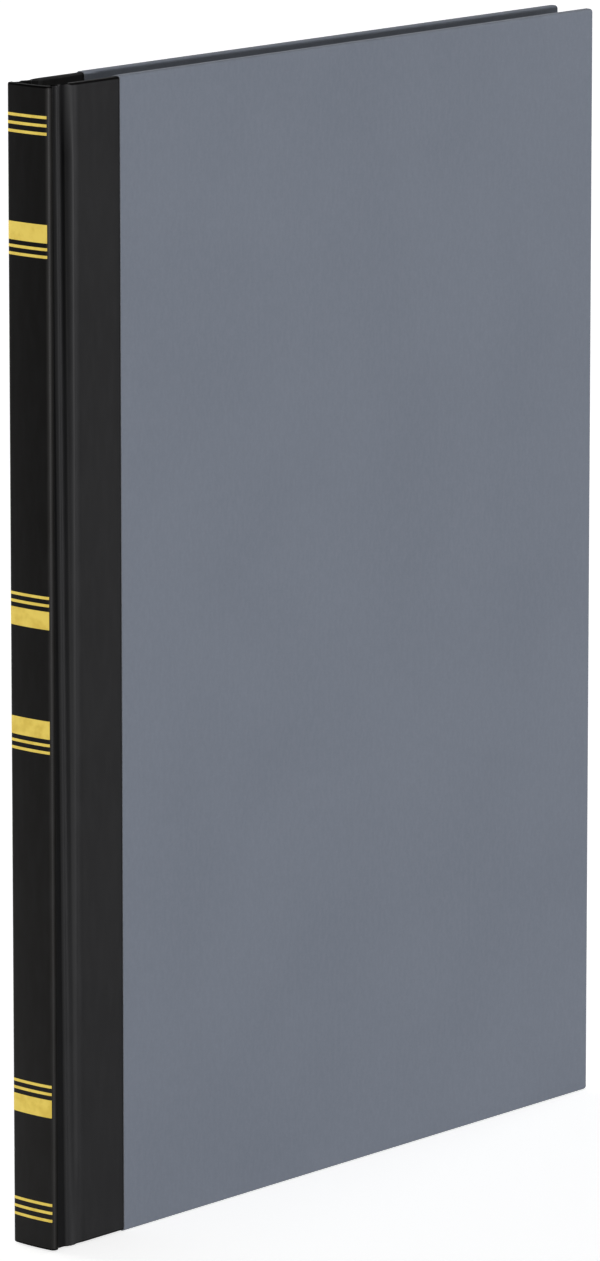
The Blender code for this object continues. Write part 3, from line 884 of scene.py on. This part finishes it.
def make_camera():
    """The photograph's camera, which looks down a little from the spine's side."""
    lens = bpy.data.cameras.new("photograph")
    lens.sensor_width = SENSOR
    lens.lens = FOCAL_PIXELS / IMAGE_HEIGHT * SENSOR
    lens.shift_y = (PRINCIPAL_ROW - IMAGE_HEIGHT / 2) / IMAGE_HEIGHT
    camera = bpy.data.objects.new("photograph", lens)
    camera.location = Vector((BOOK_LOW.x, 0, 0)) + CAMERA_FROM_SPINE
    camera.rotation_euler = (math.radians(90 + CAMERA_PITCH), 0, math.radians(CAMERA_YAW - 90))
    bpy.context.scene.collection.objects.link(camera)
    bpy.context.scene.camera = camera


def make_light():
    """A dim even world that is seen as white, and the lamps."""
    world = bpy.data.worlds.new("studio")
    bpy.context.scene.world = world
    world.use_nodes = True
    tree = world.node_tree
    lit = tree.nodes["Background"]
    lit.inputs["Color"].default_value = WHITE
    lit.inputs["Strength"].default_value = WORLD_LIGHT
    shown = tree.nodes.new("ShaderNodeBackground")
    shown.inputs["Color"].default_value = WHITE
    shown.inputs["Strength"].default_value = 1.0
    choice = tree.nodes.new("ShaderNodeMixShader")
    tree.links.new(seen_directly(tree), choice.inputs[0])
    tree.links.new(lit.outputs[0], choice.inputs[1])
    tree.links.new(shown.outputs[0], choice.inputs[2])
    tree.links.new(choice.outputs[0], tree.nodes["World Output"].inputs["Surface"])
    for name, values in LAMPS.items():
        light = bpy.data.lights.new(name, 'SUN')
        light.energy = values["strength"]
        light.angle = math.radians(values["angle"])
        lamp = bpy.data.objects.new(name, light)
        lamp.rotation_euler = [math.radians(a) for a in values["turn"]]
        bpy.context.scene.collection.objects.link(lamp)


def make_floor():
    """One wide plain sheet under the book."""
    mesh = bmesh.new()
    bmesh.ops.create_grid(mesh, x_segments=1, y_segments=1, size=FLOOR_SIZE / 2)
    floor = new_piece("studio_floor", mesh, studio_floor())


def dress_book():
    """Every piece of the book, from the case to the linings inside."""
    spine_finish = black_bookcloth("black bookcloth on the spine", "y", "z", spine_tone,
                                   SPINE_CLOTH_DARK, SPINE_CLOTH_PALE)
    board_finish = black_bookcloth("black bookcloth on the boards", "x", "z", board_tone,
                                   BOARD_CLOTH_DARK, BOARD_CLOTH_PALE)
    slate = slate_paper()
    core = paper_core()
    spine_cloth(spine_finish)
    for label in SIDES:
        board_cloth(label, board_finish)
        paper_side(label, slate, core)
    gold = gold_foil()
    ruled = ledger_paper()
    draw = random.Random(JITTER_SEED)
    for node in sorted(frame["nodes"]):
        if node.startswith("foil_"):
            foil_line(node, gold)
        elif node.startswith("section_"):
            section_leaves(node, ruled, draw)
    dress_kept_nodes({
        "board": rough_card("grey board", linear(156, 148, 134), linear(138, 130, 116)),
        "spine_card": rough_card("spine card", linear(162, 150, 130), linear(146, 134, 114)),
        "endpaper": plain_paper("white endpaper", linear(237, 234, 225), linear(234, 231, 221),
                                roughness=0.75),
        "tape": woven_linen("linen tape", linear(226, 218, 200), linear(196, 186, 164),
                            pitch=0.4 * MM),
        "mull": woven_linen("open mull", linear(218, 210, 194), linear(176, 166, 146),
                            pitch=0.8 * MM),
        "kraft": plain_paper("kraft lining", linear(176, 140, 98), linear(160, 124, 84),
                             roughness=0.85),
        "thread": woven_linen("linen thread", linear(232, 226, 210), linear(206, 198, 178),
                              pitch=0.2 * MM),
    })


make_camera()
make_light()
make_floor()
dress_book()

bpy.context.scene.view_settings.view_transform = 'Standard'
